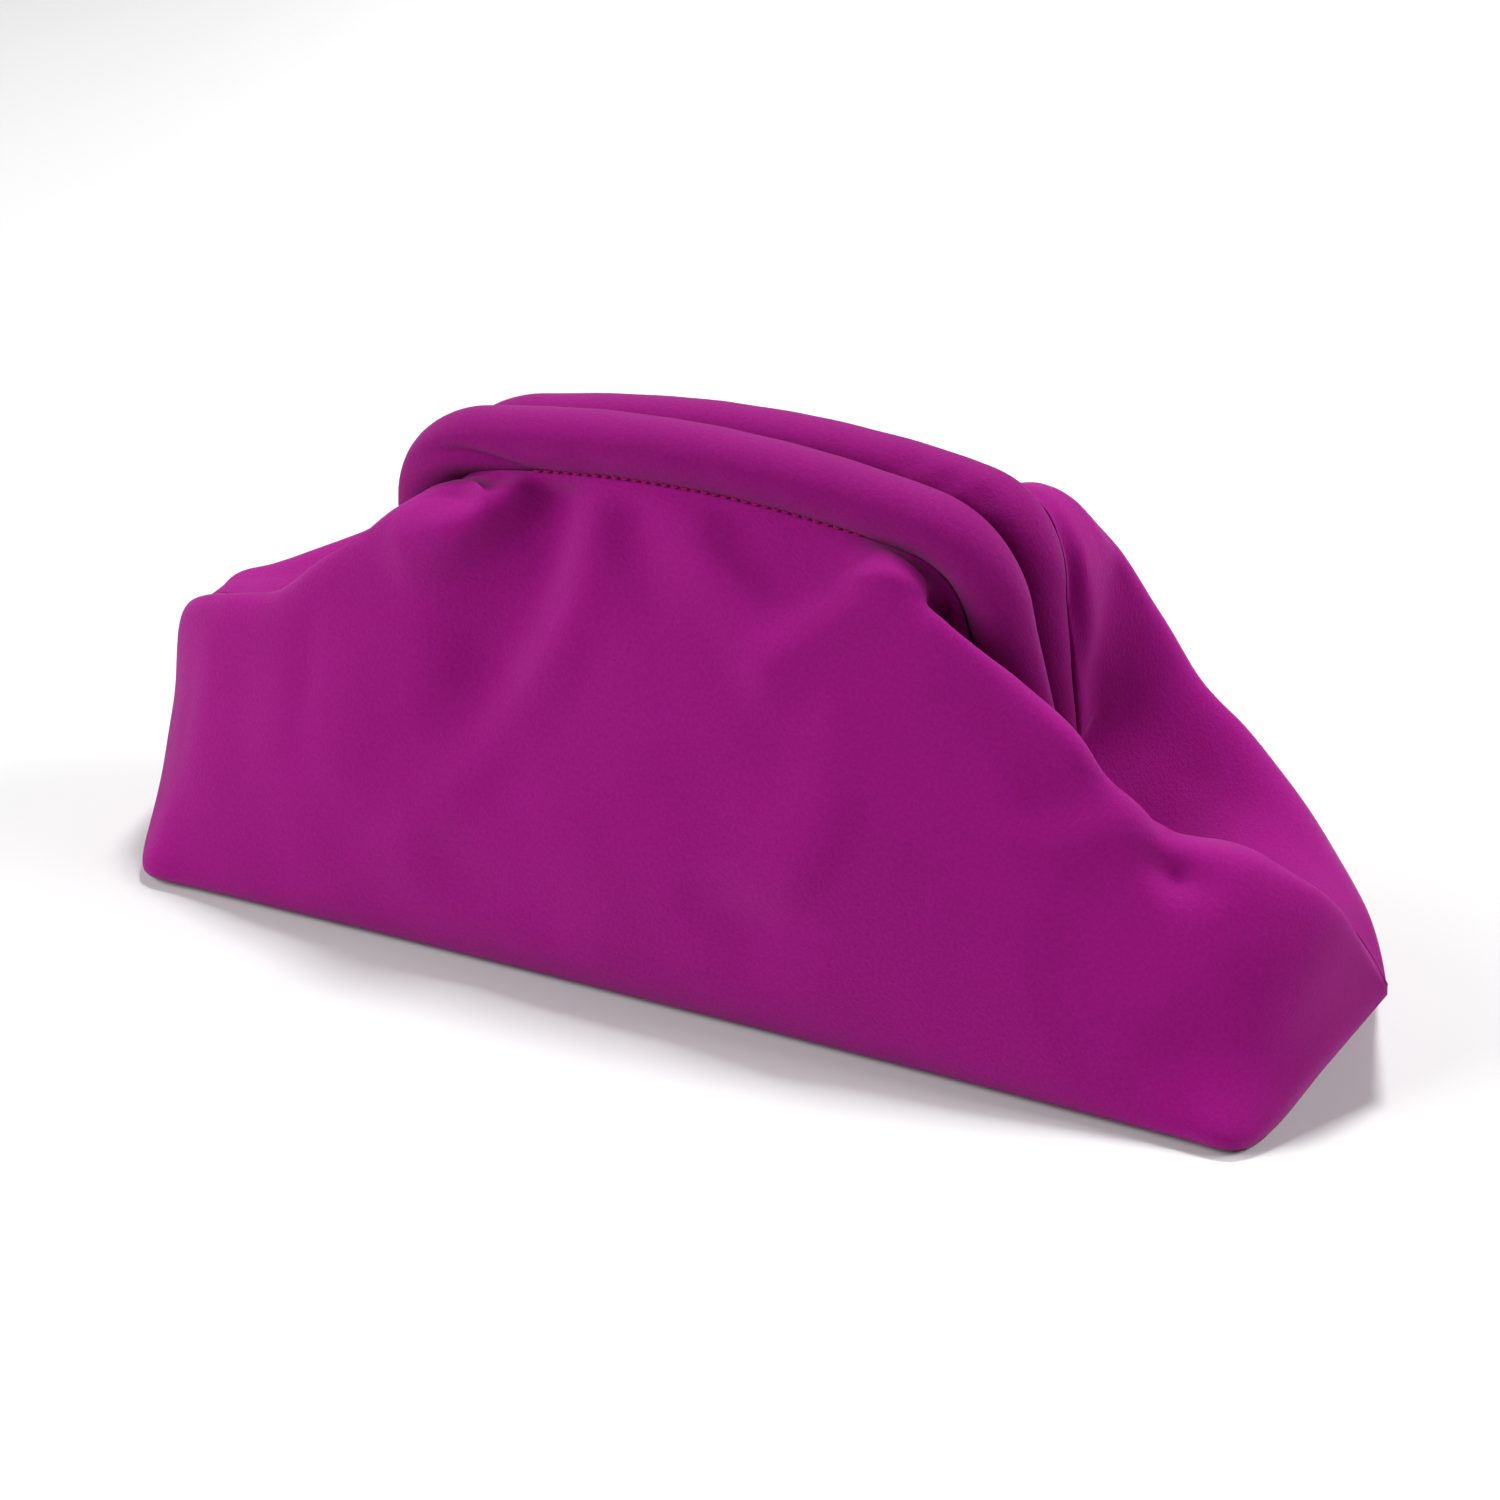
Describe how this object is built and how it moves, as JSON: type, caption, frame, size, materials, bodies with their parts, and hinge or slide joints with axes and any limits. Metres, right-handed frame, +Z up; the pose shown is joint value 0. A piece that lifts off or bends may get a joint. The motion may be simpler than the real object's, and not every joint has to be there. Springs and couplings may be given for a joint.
{
  "type": "clutch bag",
  "caption": "Soft pouch clutch bag gathered under a padded hinged frame, with a flat base, boxed pointed ends and folded cloth panels.",
  "frame": {"origin": "centre of the base, on the surface that the bag stands on", "axes": "+X along the bag's length to the right seen from the front, +Y from the front to the back, +Z up"},
  "size_m": [0.3568, 0.101, 0.1461],
  "materials": {
    "panel_cloth": "matte magenta woven cloth with a soft sheen",
    "roll_cloth": "matte magenta woven cloth over soft padding"
  },
  "bodies": {
    "root": {"front_panel": "panel_cloth", "back_panel": "panel_cloth", "front_roll": "roll_cloth", "back_roll": "roll_cloth"}
  },
  "joints": []
}
